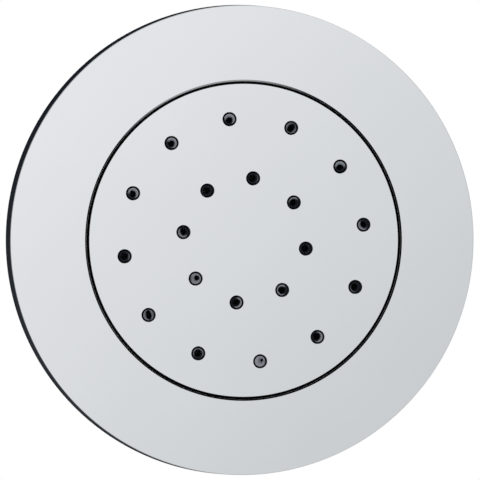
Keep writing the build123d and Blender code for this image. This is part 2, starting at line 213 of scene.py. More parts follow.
# Smoothness of the modelled pieces
ROUND_STEPS = 360
STEM_STEPS = 144
HOLE_STEPS = 48
ARC_STEPS = 6
BALL_STEPS = 24
THREAD_ROWS = 12
THREAD_SLOPE = 1.5  # the flanks are this much steeper than a plain zigzag, so crests and roots are flat
SAME_PLACE = 6  # decimals to which two vertices of a thread are one
QUARTER_STEPS = 3
QUARTER_ARC = [math.pi / 2 * step / QUARTER_STEPS for step in range(QUARTER_STEPS + 1)]
HOLD = 0.03  # millimetres between the two rings that keep a flat flat beside an arc
NEAR = 0.03  # millimetres within which two places are taken as one
SHARP_ANGLE = math.radians(32)

# Finishes: colours that the record doesn't give, and the spread of a texture
CHROME = (0.80, 0.815, 0.84)
# unpolished metal inside the plate, near black as painted shade of the hollow behind the bore
BARE_METAL_AND_PAINTED_SHADE = (0.02, 0.021, 0.023)
# near black, painted shade on the nozzles' walls, throats and shaded tip sides
NOZZLE_PAINTED_SHADE = (0.009, 0.011, 0.018)
NOZZLE_LIGHT = (0.255, 0.271, 0.305)
NOISE_RANGE = (0.3, 0.7)  # most values of a noise texture lie between these


def direction(azimuth, elevation):
    """Unit vector from the object towards a viewer at those angles in degrees."""
    a, e = math.radians(azimuth), math.radians(elevation)
    return Vector((math.sin(a) * math.cos(e), -math.cos(a) * math.cos(e), math.sin(e)))


# Camera and studio


def add_camera():
    """Camera that sees the jet as the photograph does."""
    face_centre = Vector((0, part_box("spray_face")[0].y, 0))
    towards = direction(VIEW_AZIMUTH, VIEW_ELEVATION)
    turn = (-towards).to_track_quat("-Z", "Y")
    right = turn @ Vector((1, 0, 0))
    up = turn @ Vector((0, 1, 0))
    pixel = VIEW_DISTANCE / PIXEL_DISTANCE
    middle = (PHOTO_SIDE - 1) / 2
    offset_x = FACE_PIXEL[0] - middle
    offset_y = FACE_PIXEL[1] - middle
    place = face_centre + towards * VIEW_DISTANCE
    aim = face_centre - right * offset_x * pixel + up * offset_y * pixel
    data = bpy.data.cameras.new("camera")
    data.sensor_width = SENSOR
    data.lens = SENSOR * PIXEL_DISTANCE / PHOTO_SIDE
    camera = bpy.data.objects.new("camera", data)
    camera.location = place
    roll = Quaternion((0, 0, 1), math.radians(VIEW_ROLL))
    camera.rotation_euler = ((aim - place).to_track_quat("-Z", "Y") @ roll).to_euler()
    bpy.context.collection.objects.link(camera)
    bpy.context.scene.camera = camera


def seen_rays(nodes, links):
    """Socket that is 1 for the rays in which the background itself is seen."""
    path = nodes.new("ShaderNodeLightPath")
    either = nodes.new("ShaderNodeMath")
    either.operation = "MAXIMUM"
    links.new(path.outputs["Is Camera Ray"], either.inputs[0])
    links.new(path.outputs["Is Glossy Ray"], either.inputs[1])
    return either.outputs[0]


def add_world():
    """Even fill light; the camera and reflections see plain white."""
    world = bpy.data.worlds.new("studio")
    world.use_nodes = True
    bpy.context.scene.world = world
    nodes, links = world.node_tree.nodes, world.node_tree.links
    even = nodes["Background"]
    even.inputs["Color"].default_value = (1, 1, 1, 1)
    even.inputs["Strength"].default_value = FILL_STRENGTH
    white = nodes.new("ShaderNodeBackground")
    white.inputs["Color"].default_value = (1, 1, 1, 1)
    white.inputs["Strength"].default_value = 1.0
    mix = nodes.new("ShaderNodeMixShader")
    links.new(seen_rays(nodes, links), mix.inputs[0])
    links.new(even.outputs[0], mix.inputs[1])
    links.new(white.outputs[0], mix.inputs[2])
    links.new(mix.outputs[0], nodes["World Output"].inputs["Surface"])


def add_softboxes():
    """Soft lamps around the jet, which don't show in reflections."""
    for name, (place, power) in SOFTBOXES.items():
        data = bpy.data.lights.new(name, "AREA")
        data.size = SOFTBOX_SIZE
        data.energy = power
        lamp = bpy.data.objects.new(name, data)
        lamp.location = place
        lamp.rotation_euler = (-Vector(place)).to_track_quat("-Z", "Y").to_euler()
        lamp.visible_glossy = False
        bpy.context.collection.objects.link(lamp)


def staged(name, bm, place=(0, 0, 0), turn=(0, 0, 0)):
    """Piece of the studio with a material of its own; gives it with the material's nodes and links."""
    mesh = bpy.data.meshes.new(name)
    bm.to_mesh(mesh)
    bm.free()
    piece = bpy.data.objects.new(name, mesh)
    piece.location = place
    piece.rotation_euler = [math.radians(angle) for angle in turn]
    bpy.context.collection.objects.link(piece)
    made = bpy.data.materials.new(name)
    made.use_nodes = True
    mesh.materials.append(made)
    return piece, made.node_tree.nodes, made.node_tree.links


def square(half):
    """Mesh of a flat square around the origin."""
    bm = bmesh.new()
    corners = ((-half, -half, 0), (half, -half, 0), (half, half, 0), (-half, half, 0))
    bm.faces.new([bm.verts.new(corner) for corner in corners])
    return bm


def make_card(card, nodes, links):
    """Turns a staged piece into a card that shows only in reflections; gives its light."""
    card.visible_camera = False
    card.visible_diffuse = False
    card.visible_shadow = False
    card.visible_transmission = False
    nodes.remove(nodes["Principled BSDF"])
    glow = nodes.new("ShaderNodeEmission")
    links.new(glow.outputs[0], nodes["Material Output"].inputs["Surface"])
    return glow


def add_front_card():
    """Upright card in front of the jet, whose colour changes along a direction."""
    start, end = FRONT_CARD_STOPS[0][0], FRONT_CARD_STOPS[-1][0]
    card, nodes, links = staged("front_card", square(FRONT_CARD_HALF), (0, FRONT_CARD_Y, 0), (90, 0, 0))
    glow = make_card(card, nodes, links)
    place = nodes.new("ShaderNodeNewGeometry")
    slope = nodes.new("ShaderNodeVectorMath")
    slope.operation = "DOT_PRODUCT"
    slope.inputs[1].default_value = FRONT_CARD_ALONG
    shift = nodes.new("ShaderNodeMapRange")
    shift.inputs["From Min"].default_value = start
    shift.inputs["From Max"].default_value = end
    ramp = nodes.new("ShaderNodeValToRGB")
    marks = ramp.color_ramp.elements
    while len(marks) < len(FRONT_CARD_STOPS):
        marks.new(0.5)
    for mark, (position, colour) in zip(marks, FRONT_CARD_STOPS):
        mark.position = (position - start) / (end - start)
        mark.color = (*colour, 1)
    links.new(place.outputs["Position"], slope.inputs[0])
    links.new(slope.outputs["Value"], shift.inputs["Value"])
    links.new(shift.outputs["Result"], ramp.inputs["Fac"])
    links.new(ramp.outputs["Color"], glow.inputs["Color"])


def add_toned_card(name, bm, turn=(0, 0, 0)):
    """Card whose colours are stored on its mesh."""
    card, nodes, links = staged(name, bm, turn=turn)
    glow = make_card(card, nodes, links)
    shade = nodes.new("ShaderNodeAttribute")
    shade.attribute_name = "tone"
    links.new(shade.outputs["Color"], glow.inputs["Color"])


def add_ring_card():
    """Band around the view, with a narrow dark strip near its front end and a lighter patch below."""
    bm = bmesh.new()
    tone = bm.verts.layers.float_color.new("tone")
    near, far = RING_GLOW_REACH
    loops = []
    for y, around, top in RING_CARD_TONES:
        loop = ring(bm, RING_CARD_R, y)
        for vert in loop:
            angle = math.degrees(math.atan2(vert.co.z, vert.co.x))
            patch = (far - abs(angle - RING_GLOW_ANGLE)) / (far - near)
            height = max(0, vert.co.z / RING_CARD_R)
            light = around + (top - around) * height ** 2
            light = max(light, RING_GLOW * min(1, patch))
            vert[tone] = (light, light, light, 1)
        loops.append(loop)
    chain(bm, loops)
    add_toned_card("ring_card", bm, (VIEW_ELEVATION, 0, -VIEW_AZIMUTH))


def add_flag_card():
    """Dark ring behind the jet, which darkens the rim, fading to light on both sides."""
    bm = bmesh.new()
    tone = bm.verts.layers.float_color.new("tone")
    loops = []
    for radius, white in FLAG_TONES:
        loop = ring(bm, radius, FLAG_Y)
        for vert in loop:
            height = min(1, max(0, 0.5 + vert.co.z / (2 * FLAG_SPAN)))
            dark = Vector(FLAG_LOW).lerp(Vector(FLAG_HIGH), height)
            vert[tone] = (*dark.lerp(Vector((1, 1, 1)), white), 1)
        loops.append(loop)
    chain(bm, loops)
    add_toned_card("flag_card", bm)


def add_floor():
    """Pale floor that keeps the jet's shadow, turns white further out and is clear from below."""
    floor, nodes, links = staged("floor", square(FLOOR_HALF), (0, 0, FLOOR_Z))
    floor.visible_glossy = False
    shader = nodes["Principled BSDF"]
    shader.inputs["Base Color"].default_value = (*FLOOR_COLOUR, 1)
    shader.inputs["Roughness"].default_value = FLOOR_ROUGHNESS
    place = nodes.new("ShaderNodeTexCoord")
    away = nodes.new("ShaderNodeVectorMath")
    away.operation = "LENGTH"
    fade = nodes.new("ShaderNodeMapRange")
    fade.interpolation_type = "SMOOTHSTEP"
    fade.inputs["From Min"].default_value = FLOOR_SHADOW_R / 2
    fade.inputs["From Max"].default_value = FLOOR_SHADOW_R
    both = nodes.new("ShaderNodeMath")
    both.operation = "MULTIPLY"
    white = nodes.new("ShaderNodeEmission")
    mix = nodes.new("ShaderNodeMixShader")
    links.new(place.outputs["Object"], away.inputs[0])
    links.new(away.outputs["Value"], fade.inputs["Value"])
    links.new(fade.outputs["Result"], both.inputs[0])
    links.new(seen_rays(nodes, links), both.inputs[1])
    links.new(both.outputs[0], mix.inputs[0])
    links.new(shader.outputs[0], mix.inputs[1])
    links.new(white.outputs[0], mix.inputs[2])
    side = nodes.new("ShaderNodeNewGeometry")
    clear = nodes.new("ShaderNodeBsdfTransparent")
    sided = nodes.new("ShaderNodeMixShader")
    links.new(side.outputs["Backfacing"], sided.inputs[0])
    links.new(mix.outputs[0], sided.inputs[1])
    links.new(clear.outputs[0], sided.inputs[2])
    links.new(sided.outputs[0], nodes["Material Output"].inputs["Surface"])


# Mesh tools: a piece is in millimetres until it is finished


def ring(bm, radius, y, count=ROUND_STEPS, centre=(0, 0)):
    """Circle of vertices across the Y axis."""
    verts = []
    for index in range(count):
        angle = TURN * index / count
        x = centre[0] + radius * math.cos(angle)
        z = centre[1] + radius * math.sin(angle)
        verts.append(bm.verts.new((x, y, z)))
    return verts


def hexagon(bm, flat_r, y, limit_r=math.inf):
    """Hexagon of vertices across the Y axis, with its corners turned off at a radius."""
    verts = []
    for index in range(STEM_STEPS):
        angle = TURN * index / STEM_STEPS
        radius = min(flat_r / math.cos(angle % (TURN / 6) - TURN / 12), limit_r)
        verts.append(bm.verts.new((radius * math.cos(angle), y, radius * math.sin(angle))))
    return verts


def bridge(bm, first, second):
    """Quads between two loops of as many vertices."""
    for index in range(len(first)):
        after = (index + 1) % len(first)
        bm.faces.new((first[index], first[after], second[after], second[index]))


def chain(bm, loops):
    """Quads between each loop and the next; gives the first and the last."""
    for first, second in zip(loops, loops[1:]):
        bridge(bm, first, second)
    return loops[0], loops[-1]


def fill(bm, *loops):
    """Flat face across the Y axis with an outer loop and holes."""
    edges = []
    for loop in loops:
        for first, second in zip(loop, loop[1:] + loop[:1]):
            edges.append(bm.edges.get((first, second)) or bm.edges.new((first, second)))
    bmesh.ops.triangle_fill(bm, use_beauty=True, use_dissolve=False, edges=edges, normal=(0, 1, 0))


def corner_arc(before, corner, after, radius):
    """Points of an arc that rounds a corner, with a holding point on each side."""
    inward = (before - corner).normalized()
    outward = (after - corner).normalized()
    half = inward.angle(outward) / 2
    run = radius / math.tan(half)
    centre = corner + (inward + outward).normalized() * radius / math.sin(half)
    start = corner + inward * run - centre
    end = corner + outward * run - centre
    swing = -start.angle_signed(end)
    points = [corner + inward * (run + HOLD)]
    for step in range(ARC_STEPS + 1):
        angle = swing * step / ARC_STEPS
        x = start.x * math.cos(angle) - start.y * math.sin(angle)
        y = start.x * math.sin(angle) + start.y * math.cos(angle)
        points.append(centre + Vector((x, y)))
    points.append(corner + outward * (run + HOLD))
    return points


def outline(corners, closed):
    """Points of a section given by its corners (radius, y, rounding), and where each corner ends."""
    points = []
    ends = []
    for index, (r, y, radius) in enumerate(corners):
        here = Vector((r, y))
        at_end = not closed and index in (0, len(corners) - 1)
        if radius == 0 or at_end:
            points.append(here)
        else:
            before = Vector(corners[index - 1][:2])
            after = Vector(corners[(index + 1) % len(corners)][:2])
            points.extend(corner_arc(before, here, after, radius))
        ends.append(len(points) - 1)
    return points, ends


def lathe(bm, corners, closed=True, flats=()):
    """Turns a section about the Y axis. The flats named by their first corner are left open, and
    their pairs of edge loops are returned, followed by the section's own first and last loops."""
    points, ends = outline(corners, closed)
    loops = [ring(bm, point.x, point.y) for point in points]
    open_at = [ends[flat] for flat in flats]
    pairs = len(loops) if closed else len(loops) - 1
    for index in range(pairs):
        if index not in open_at:
            bridge(bm, loops[index], loops[(index + 1) % len(loops)])
    return [(loops[at], loops[(at + 1) % len(loops)]) for at in open_at] + [(loops[0], loops[-1])]


def thread(bm, crest_r, pitch, depth, start, end):
    """Right-hand screw thread that runs out at both ends; gives its first and last loops."""
    made = {}

    def vertex(column, row):
        if column == STEM_STEPS:
            return vertex(0, row - THREAD_ROWS)
        raw = start + pitch * (row / THREAD_ROWS - column / STEM_STEPS)
        y = min(max(raw, start), end)
        key = (column, round(y, SAME_PLACE))
        if key not in made:
            phase = ((y - start) / pitch + column / STEM_STEPS) % 1
            zigzag = 1 - abs(2 * phase - 1)
            ridge = min(1, max(0, 0.5 + THREAD_SLOPE * (zigzag - 0.5)))
            fade = min(1, (y - start) / pitch, (end - y) / pitch)
            radius = crest_r - depth + depth * ridge * fade
            angle = TURN * column / STEM_STEPS
            made[key] = bm.verts.new((radius * math.cos(angle), y, radius * math.sin(angle)))
        return made[key]

    rows = THREAD_ROWS * (math.ceil((end - start) / pitch) + 1)
    for column in range(STEM_STEPS):
        for row in range(rows):
            corners = [vertex(column, row), vertex(column, row + 1),
                       vertex(column + 1, row + 1), vertex(column + 1, row)]
            face = list(dict.fromkeys(corners))
            if len(face) > 2:
                bm.faces.new(face)
    first = [made[(column, round(start, SAME_PLACE))] for column in range(STEM_STEPS)]
    last = [made[(column, round(end, SAME_PLACE))] for column in range(STEM_STEPS)]
    return first, last


def dull_and_shaded_inside(bm, y, radius):
    """Gives the second finish to the faces behind a place on the axis and within a radius."""
    for face in bm.faces:
        centre = face.calc_center_median()
        if centre.y > y and math.hypot(centre.x, centre.z) < radius:
            face.material_index = 1


def finish_piece(bm, name, body, replaced, inside=None):
    """Makes the piece from its mesh, in metres, on its body and in place of its CAD node."""
    slot = SLOT_OF[replaced]
    bmesh.ops.scale(bm, vec=(MM, MM, MM), verts=bm.verts)
    bmesh.ops.recalc_face_normals(bm, faces=bm.faces)
    mesh = bpy.data.meshes.new(name)
    bm.to_mesh(mesh)
    bm.free()
    mesh.shade_smooth()
    mesh.set_sharp_from_angle(angle=SHARP_ANGLE)
    mesh.materials.append(FINISHES[slot])
    if inside:
        mesh.materials.append(FINISHES[inside])
    piece = bpy.data.objects.new(name, mesh)
    bpy.context.collection.objects.link(piece)
    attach(piece, body)
    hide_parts(replaced)


def reach(node):
    """Radius and the two ends along Y of a turned node, in millimetres."""
    low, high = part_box(node)
    return high.x / MM, low.y / MM, high.y / MM


def radii(node, y):
    """Smallest and largest radius of a node's points in a plane across its axis, in millimetres."""
    found = []
    for vertex in frame["nodes"][node].data.vertices:
        if abs(vertex.co.y / MM - y) < NEAR:
            found.append(math.hypot(vertex.co.x, vertex.co.z) / MM)
    return min(found), max(found)


def circle_places(radius, count, first):
    """Points (x, z) spaced evenly on a circle, from a first angle in degrees."""
    places = []
    for index in range(count):
        angle = math.radians(first) + TURN * index / count
        places.append((radius * math.cos(angle), radius * math.sin(angle)))
    return places


def nozzle_places():
    """Centres (x, z) of the nozzles."""
    return circle_places(*OUTER_RING) + circle_places(*INNER_RING)


def screw_places():
    """Centres (x, z) of the wall screws, midway between the housing's cup and its flange's edge."""
    flange_r, flange_y, _ = reach("wall_housing")
    cup_r = radii("wall_housing", flange_y)[0] + HOUSING_WALL
    return circle_places((cup_r + flange_r) / 2, SCREW_COUNT, 180 / SCREW_COUNT)


def drill(bm, places, steps):
    """Walls of round holes with the same steps (radius, y); gives their first and last loops."""
    firsts = []
    lasts = []
    for place in places:
        first, last = chain(bm, [ring(bm, r, y, HOLE_STEPS, place) for r, y in steps])
        firsts.append(first)
        lasts.append(last)
    return firsts, lasts


# Polished pieces and nozzles


def make_cover_plate():
    """Polished plate with a bevelled bore, a dull inside coloured near black as painted shade, and a collar
    with a groove.
    """
    rim_foot_r, face_y, collar_end = reach("cover_plate")
    bore_r = reach("spray_face")[0] + FACE_GAP
    relief_r, collar_r = radii("cover_plate", collar_end)
    wall_y = face_y + PLATE_WALL
    rim_r = FACE_PLATE_R - PLATE_WALL
    groove_r = collar_r - GROOVE_DEPTH
    bore_y = face_y + BORE_EDGE * math.tan(math.radians(BORE_SLOPE))
    bm = bmesh.new()
    lathe(bm, [
        (bore_r, bore_y, BORE_ROUND),
        (bore_r + BORE_EDGE, face_y, BORE_ROUND),
        (FACE_PLATE_R, face_y, RIM_EDGE),
        (rim_foot_r, 0, 0),
        (rim_r, 0, BACK_EDGE),
        (rim_r, wall_y, BACK_EDGE),
        (collar_r, wall_y, BACK_EDGE),
        (collar_r, GROOVE_Y[0], 0),
        (groove_r, GROOVE_Y[0], 0),
        (groove_r, GROOVE_Y[1], 0),
        (collar_r, GROOVE_Y[1], 0),
        (collar_r, collar_end, BACK_EDGE),
        (relief_r, collar_end, BACK_EDGE),
        (relief_r, RELIEF_Y, 0),
        (bore_r, face_y + BORE_LAND, 0),
    ])
    # the dull inside is unpolished metal painted near black, as shade in the hollow behind the bore
    dull_and_shaded_inside(bm, bore_y, rim_r + NEAR)
    finish_piece(bm, "polished_cover_plate", "wall_set", "cover_plate", inside="bare_plate_and_painted_shade")


def make_spray_face():
    """Polished cup with a hole for every nozzle."""
    face_r, face_y, skirt_y = reach("spray_face")
    skirt_r = face_r - SKIRT_WALL
    back_y = face_y + FACE_WALL
    bm = bmesh.new()
    (front, back), = lathe(bm, [
        (skirt_r, face_y, 0),
        (face_r, face_y, FACE_EDGE),
        (face_r, skirt_y, BACK_EDGE),
        (skirt_r, skirt_y, BACK_EDGE),
        (skirt_r, back_y, 0),
    ], closed=False)
    fronts, backs = drill(bm, nozzle_places(), [
        (HOLE_R + HOLE_EDGE, face_y),
        (HOLE_R, face_y + HOLE_EDGE),
        (HOLE_R, back_y),
    ])
    fill(bm, front, *fronts)
    fill(bm, back, *backs)
    finish_piece(bm, "polished_spray_face", "spray_head", "spray_face")


def mouth_loop(bm, mouth, centre, y, wobble, share=1.0):
    """Loop of a nozzle's mouth: an uneven oval beside the nozzle's centre."""
    turn = math.radians(mouth.turn)
    verts = []
    for index in range(HOLE_STEPS):
        angle = TURN * index / HOLE_STEPS
        uneven = 1
        for (waves, height), phase in zip(MOUTH_WAVES, wobble):
            uneven += height * math.sin(waves * angle + phase)
        a = mouth.half_width * math.cos(angle - turn) * uneven * share
        b = mouth.half_height * math.sin(angle - turn) * uneven * share
        x = mouth.right + a * math.cos(turn) - b * math.sin(turn)
        z = mouth.up + a * math.sin(turn) + b * math.cos(turn)
        verts.append(bm.verts.new((centre[0] + x * NOZZLE_TIP_R, y, centre[1] + z * NOZZLE_TIP_R)))
    return verts


def loop_between(bm, first, second, share, sink=0.0):
    """Loop part of the way from one loop to another, sunk a little along the axis."""
    verts = []
    for a, b in zip(first, second):
        place = a.co.lerp(b.co, share)
        verts.append(bm.verts.new((place.x, place.y + sink, place.z)))
    return verts


def lightness(vert, centre, mouth):
    """How light a point of a nozzle's tip is: 1 on its lit grey side, 0 on its dark side, which is painted
    shade.
    """
    angle = math.radians(mouth.dark_angle)
    across = (vert.co.x - centre[0]) * math.cos(angle) + (vert.co.z - centre[1]) * math.sin(angle)
    edge = 1 - 2 * mouth.dark_share
    light = (edge + SHADE_SOFTNESS - across / NOZZLE_TIP_R) / (2 * SHADE_SOFTNESS)
    return min(1, max(0, light))


def add_nozzle(bm, tone, centre, mouth, wobble, tip_y, sheet_y, back_y):
    """One nozzle from the mat's front to its back; gives its loops on the two faces."""
    base = ring(bm, NOZZLE_BASE_R, sheet_y, HOLE_STEPS, centre)
    lip = []
    for angle in QUARTER_ARC:
        radius = NOZZLE_TIP_R - NOZZLE_LIP * (1 - math.cos(angle))
        lip.append(ring(bm, radius, tip_y + NOZZLE_LIP * (1 - math.sin(angle)), HOLE_STEPS, centre))
    mouth_edge = mouth_loop(bm, mouth, centre, tip_y + MOUTH_SINK, wobble)
    dish = loop_between(bm, lip[-1], mouth_edge, 0.5, MOUTH_SINK / 2)
    inner = mouth_loop(bm, mouth, centre, tip_y + MOUTH_DEPTH, wobble, MOUTH_TAPER)
    throat = ring(bm, ORIFICE_R, sheet_y, HOLE_STEPS, centre)
    funnel = loop_between(bm, inner, throat, FUNNEL_SHARE)
    outlet = ring(bm, ORIFICE_R, back_y, HOLE_STEPS, centre)
    ends = chain(bm, [base, *lip, dish, mouth_edge, inner, funnel, throat, outlet])
    # Painted light and shade: each tip grey on its lit side and dark on its shaded side, darker in the dish
    # and at the mouth's edge, near black down the throat
    for loop, share in ((lip[-2], 1), (lip[-1], 1), (dish, DISH_PAINTED_SHADE_TONE), (mouth_edge, MOUTH_EDGE_PAINTED_SHADE_TONE)):
        for vert in loop:
            vert[tone] = lightness(vert, centre, mouth) * mouth.tone * share
    for vert in (*inner, *funnel, *throat):
        vert[tone] = THROAT_PAINTED_SHADE_TONE
    for loop in (*lip, dish, mouth_edge, inner):
        for vert in loop:
            vert.co.y += NOZZLE_SLANT * (1 - lightness(vert, centre, mouth))
    return ends


def make_nozzle_mat():
    """Rubber sheet with all its nozzles."""
    mat_r, tip_y, back_y = reach("nozzle_mat")
    sheet_y = reach("spray_face")[1] + FACE_WALL
    draw = random.Random(MOUTH_SEED)
    bm = bmesh.new()
    # the tip layer carries the rubber's painted light and shade
    tone = bm.verts.layers.float.new("tip")
    first, last = chain(bm, [ring(bm, mat_r, sheet_y), ring(bm, mat_r, back_y)])
    fronts = [first]
    backs = [last]
    for centre, mouth in zip(nozzle_places(), MOUTHS):
        wobble = [draw.uniform(0, TURN) for _ in MOUTH_WAVES]
        first, last = add_nozzle(bm, tone, centre, mouth, wobble, tip_y, sheet_y, back_y)
        fronts.append(first)
        backs.append(last)
    fill(bm, *fronts)
    fill(bm, *backs)
    finish_piece(bm, "nozzle_rubber_mat", "spray_head", "nozzle_mat")


# Pieces behind the plate


def rounded_slab(bm, start_r, end_r, width, grow, y, angle):
    """Loop of a rectangle with round ends that lies along a radius."""
    half = width / 2 + grow
    steps = HOLE_STEPS // 2
    verts = []
    for index in range(2 * steps):
        far = index < steps
        bend = -math.pi / 2 + math.pi * (index % steps) / (steps - 1) + (0 if far else math.pi)
        middle = end_r - width / 2 if far else start_r + width / 2
        u = middle + half * math.cos(bend)
        v = half * math.sin(bend)
        x = u * math.cos(angle) - v * math.sin(angle)
        z = u * math.sin(angle) + v * math.cos(angle)
        verts.append(bm.verts.new((x, y, z)))
    return verts


def add_rib(bm, end_r, angle, foot_y, top_y):
    """Rib with a flared foot and a rounded top; gives its loop on the surface it stands on."""
    section = []
    for bend in QUARTER_ARC:
        section.append((RIB_ROUND * (1 - math.sin(bend)), foot_y + RIB_ROUND * (1 - math.cos(bend))))
    for bend in QUARTER_ARC:
        section.append((-RIB_ROUND * (1 - math.cos(bend)), top_y - RIB_ROUND * (1 - math.sin(bend))))
    loops = [rounded_slab(bm, RIB_START_R, end_r, RIB_WIDTH, grow, y, angle) for grow, y in section]
    foot, top = chain(bm, loops)
    fill(bm, top)
    return foot


def make_wall_housing():
    """Moulded cup with screw holes in its flange, and ribs and ejector marks on its back."""
    flange_r, flange_y, rib_y = reach("wall_housing")
    flange_back_y = reach("wall_gasket")[1]
    back_y = reach("back_washer")[1]
    floor_y = reach("stem_washer")[2]
    shank_hole_r = radii("back_washer", back_y)[0]
    housing_r = radii("wall_housing", flange_y)[0]
    outer_r = housing_r + HOUSING_WALL
    bm = bmesh.new()
    front, behind, back, _ = lathe(bm, [
        (housing_r, flange_y, HOUSING_EDGE),
        (flange_r, flange_y, HOUSING_EDGE),
        (flange_r, flange_back_y, HOUSING_EDGE),
        (outer_r, flange_back_y, GASKET_EDGE),
        (outer_r, back_y, HOUSING_CORNER),
        (shank_hole_r, back_y, HOUSING_EDGE),
        (shank_hole_r, floor_y, HOUSING_EDGE),
        (housing_r, floor_y, HOUSING_EDGE),
    ], flats=(0, 2, 4))
    heads, holes = drill(bm, screw_places(), [
        (SCREW_HEAD_R, flange_y),
        (SCREW_HOLE_R, flange_y + SCREW_SINK),
        (SCREW_HOLE_R, flange_back_y),
    ])
    fill(bm, *front, *heads)
    fill(bm, *behind, *holes)
    marks = []
    rib_end_r = outer_r - HOUSING_CORNER - 2 * RIB_ROUND
    for index in range(RIB_COUNT):
        marks.append(add_rib(bm, rib_end_r, TURN * index / RIB_COUNT, back_y, rib_y))
    for centre in circle_places(EJECTOR_CIRCLE_R, RIB_COUNT, 180 / RIB_COUNT):
        edge = ring(bm, EJECTOR_R, back_y, HOLE_STEPS, centre)
        sunk = ring(bm, EJECTOR_R - EJECTOR_DEPTH / 2, back_y - EJECTOR_DEPTH, HOLE_STEPS, centre)
        bridge(bm, edge, sunk)
        fill(bm, sunk)
        marks.append(edge)
    fill(bm, *back, *marks)
    finish_piece(bm, "moulded_wall_housing", "wall_set", "wall_housing")


def make_wall_gasket():
    """Foam ring with holes for the wall screws."""
    outer_r, front_y, back_y = reach("wall_gasket")
    inner_r = radii("wall_gasket", back_y)[0]
    bm = bmesh.new()
    front, back, _ = lathe(bm, [
        (inner_r, front_y, GASKET_EDGE),
        (outer_r, front_y, GASKET_EDGE),
        (outer_r, back_y, GASKET_EDGE),
        (inner_r, back_y, GASKET_EDGE),
    ], flats=(0, 2))
    fronts, backs = drill(bm, screw_places(), [(SCREW_HOLE_R, front_y), (SCREW_HOLE_R, back_y)])
    fill(bm, *front, *fronts)
    fill(bm, *back, *backs)
    finish_piece(bm, "foam_wall_gasket", "wall_set", "wall_gasket")


def make_back_washer():
    """Flat ring with rounded edges."""
    outer_r, front_y, back_y = reach("back_washer")
    inner_r = radii("back_washer", back_y)[0]
    bm = bmesh.new()
    lathe(bm, [
        (inner_r, front_y, WASHER_EDGE),
        (outer_r, front_y, WASHER_EDGE),
        (outer_r, back_y, WASHER_EDGE),
        (inner_r, back_y, WASHER_EDGE),
    ])
    finish_piece(bm, "pressed_back_washer", "wall_set", "back_washer")


def make_inlet_stem():
    """Turned stem from its ball to its inlet, with a hexagon and two screw threads."""
    _, front_y, end_y = reach("inlet_stem")
    hex_y = reach("stem_washer")[1]
    inlet_y = reach("flow_regulator")[1]
    ball_y = front_y + BALL_FLAT
    ball_start = -math.asin(BALL_FLAT / BALL_R)
    ball_end = math.acos(NECK_R / BALL_R)
    inlet_root_r = INLET_R - INLET_THREAD[1]
    bm = bmesh.new()

    def turned(radius, y):
        return ring(bm, radius, y, STEM_STEPS)

    head = [turned(WATERWAY_R, front_y)]
    for step in range(BALL_STEPS + 1):
        angle = ball_start + (ball_end - ball_start) * step / BALL_STEPS
        head.append(turned(BALL_R * math.cos(angle), ball_y + BALL_R * math.sin(angle)))
    hex_front = hex_y - HEX_HEIGHT
    head.append(turned(NECK_R, hex_front))
    head.append(hexagon(bm, HEX_FLAT_R, hex_front, HEX_FLAT_R))
    head.append(hexagon(bm, HEX_FLAT_R, hex_front + HEX_CHAMFER))
    head.append(hexagon(bm, HEX_FLAT_R, hex_y))
    head.append(turned(SHANK_R, hex_y))
    head.append(turned(SHANK_R, hex_y + SHANK_PLAIN))
    shank_thread_y = hex_y + SHANK_PLAIN + SHANK_THREAD[1]  # after a 45 degree slope to the root
    inlet_thread_y = inlet_y + INLET_UNDERCUT
    shank_start, shank_end = thread(bm, SHANK_R, *SHANK_THREAD, shank_thread_y, inlet_y)
    chain(bm, [*head, shank_start])
    inlet_start, inlet_end = thread(bm, INLET_R, *INLET_THREAD, inlet_thread_y, end_y - INLET_CHAMFER)
    chain(bm, [shank_end, turned(inlet_root_r, inlet_y), inlet_start])
    chain(bm, [
        inlet_end,
        turned(inlet_root_r - INLET_CHAMFER, end_y),
        turned(INSERT_BORE_R, end_y),
        turned(INSERT_BORE_R, inlet_y),
        turned(WATERWAY_R, inlet_y),
        head[0],
    ])
    finish_piece(bm, "threaded_inlet_stem", "wall_set", "inlet_stem")


# Finishes


